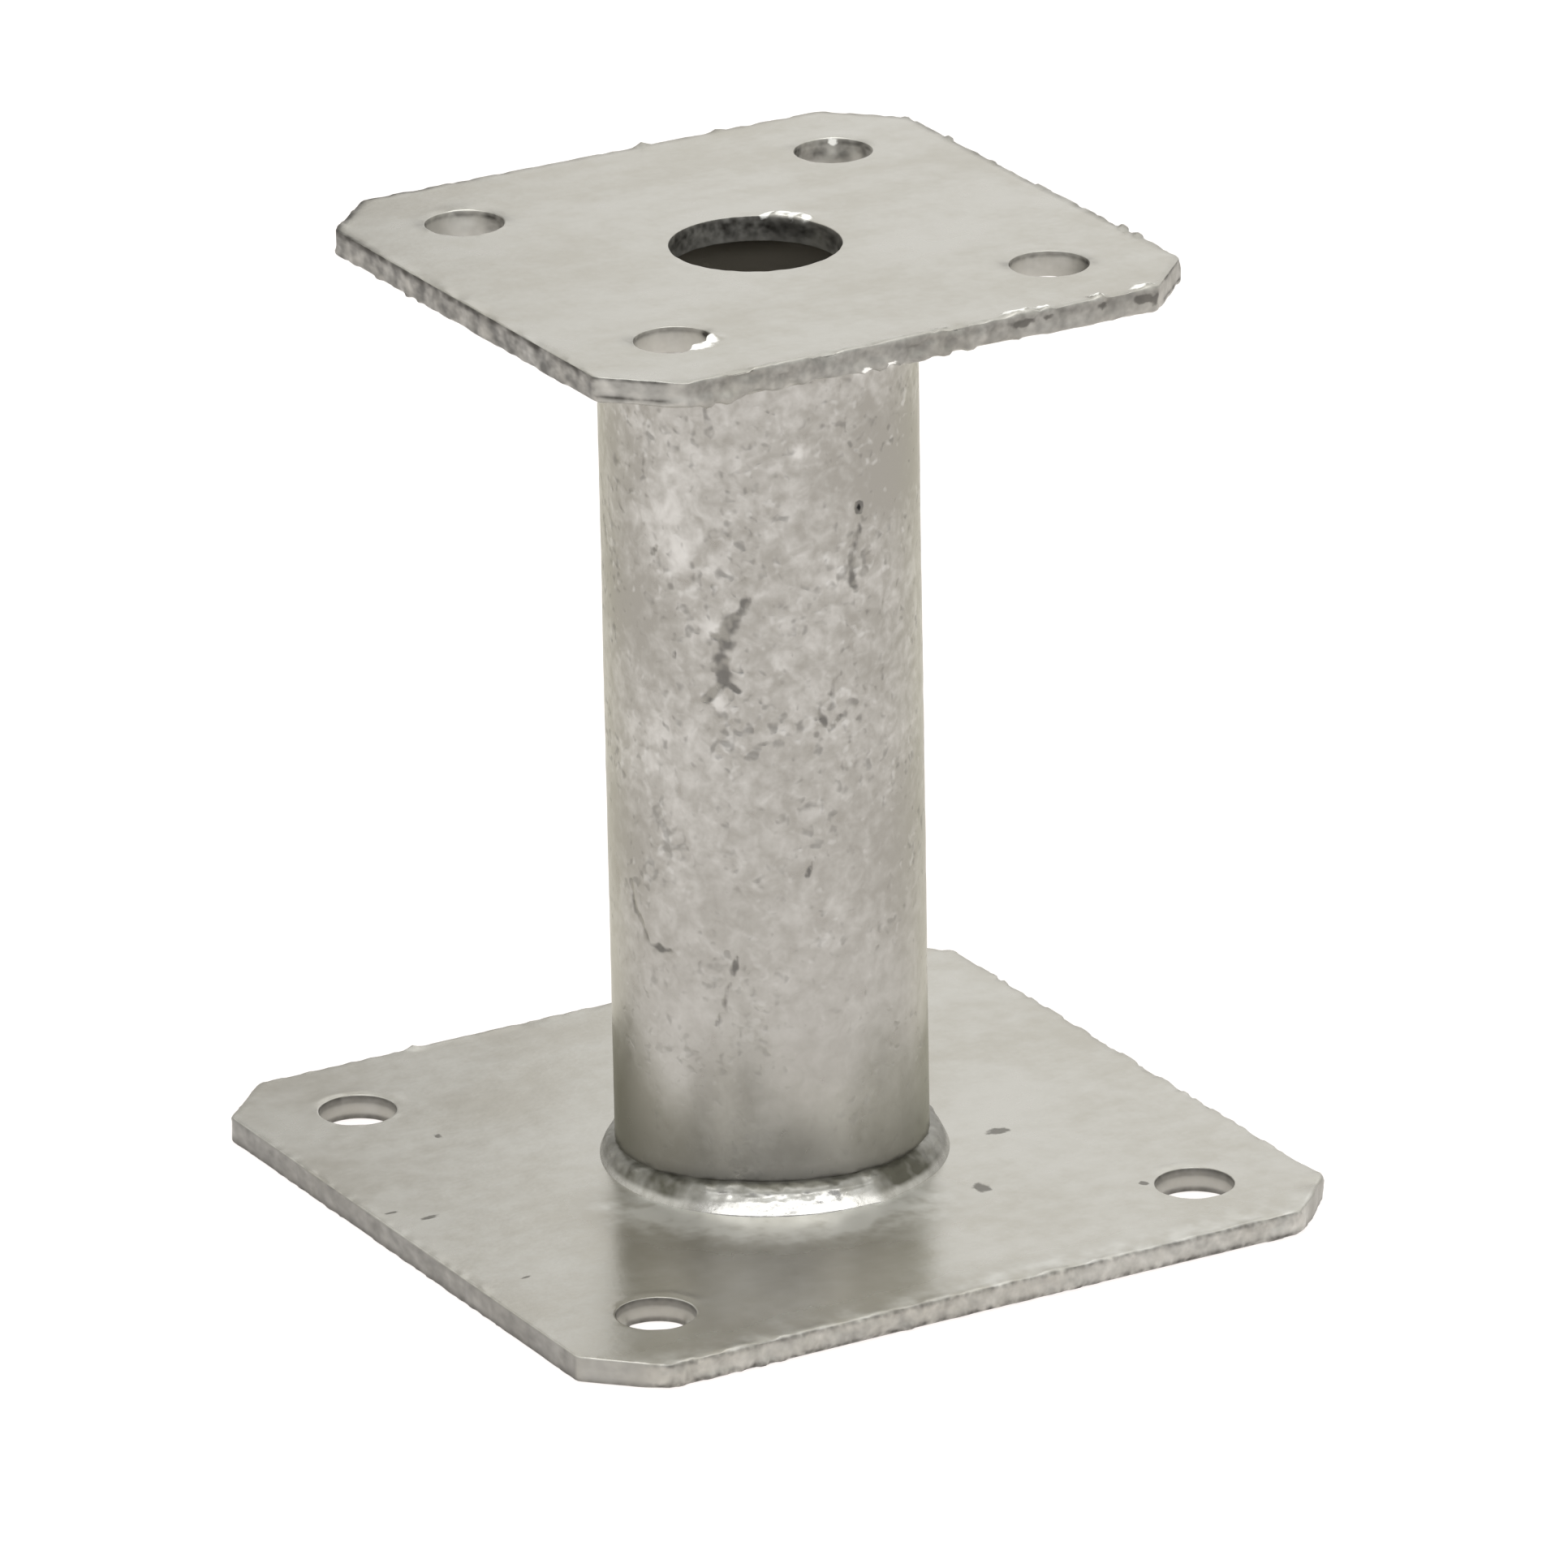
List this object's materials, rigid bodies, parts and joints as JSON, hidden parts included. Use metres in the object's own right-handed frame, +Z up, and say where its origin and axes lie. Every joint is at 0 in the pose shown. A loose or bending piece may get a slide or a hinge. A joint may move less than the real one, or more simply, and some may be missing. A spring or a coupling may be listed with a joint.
{
  "type": "column base plate",
  "caption": "Galvanised steel standoff base for a column: a wide bolt-down plate and a smaller carrying plate with corner bolt holes and a centre hole, welded to the ends of a short tube.",
  "frame": {"origin": "centre of the base plate's underside, on the tube's axis", "axes": "+Z up along the tube towards the smaller top plate; X and Y square to the plates' sides"},
  "size_m": [0.13, 0.13, 0.15],
  "materials": {
    "galvanised_plate": "satin hot-dip zinc over rolled sheet",
    "galvanised_tube": "mottled hot-dip zinc over tube",
    "galvanised_weld": "lumpy hot-dip zinc over a weld bead"
  },
  "bodies": {
    "root": {"base_plate": "galvanised_plate", "column_tube": "galvanised_tube", "top_plate": "galvanised_plate", "base_weld": "galvanised_weld", "top_weld": "galvanised_weld"}
  },
  "joints": []
}
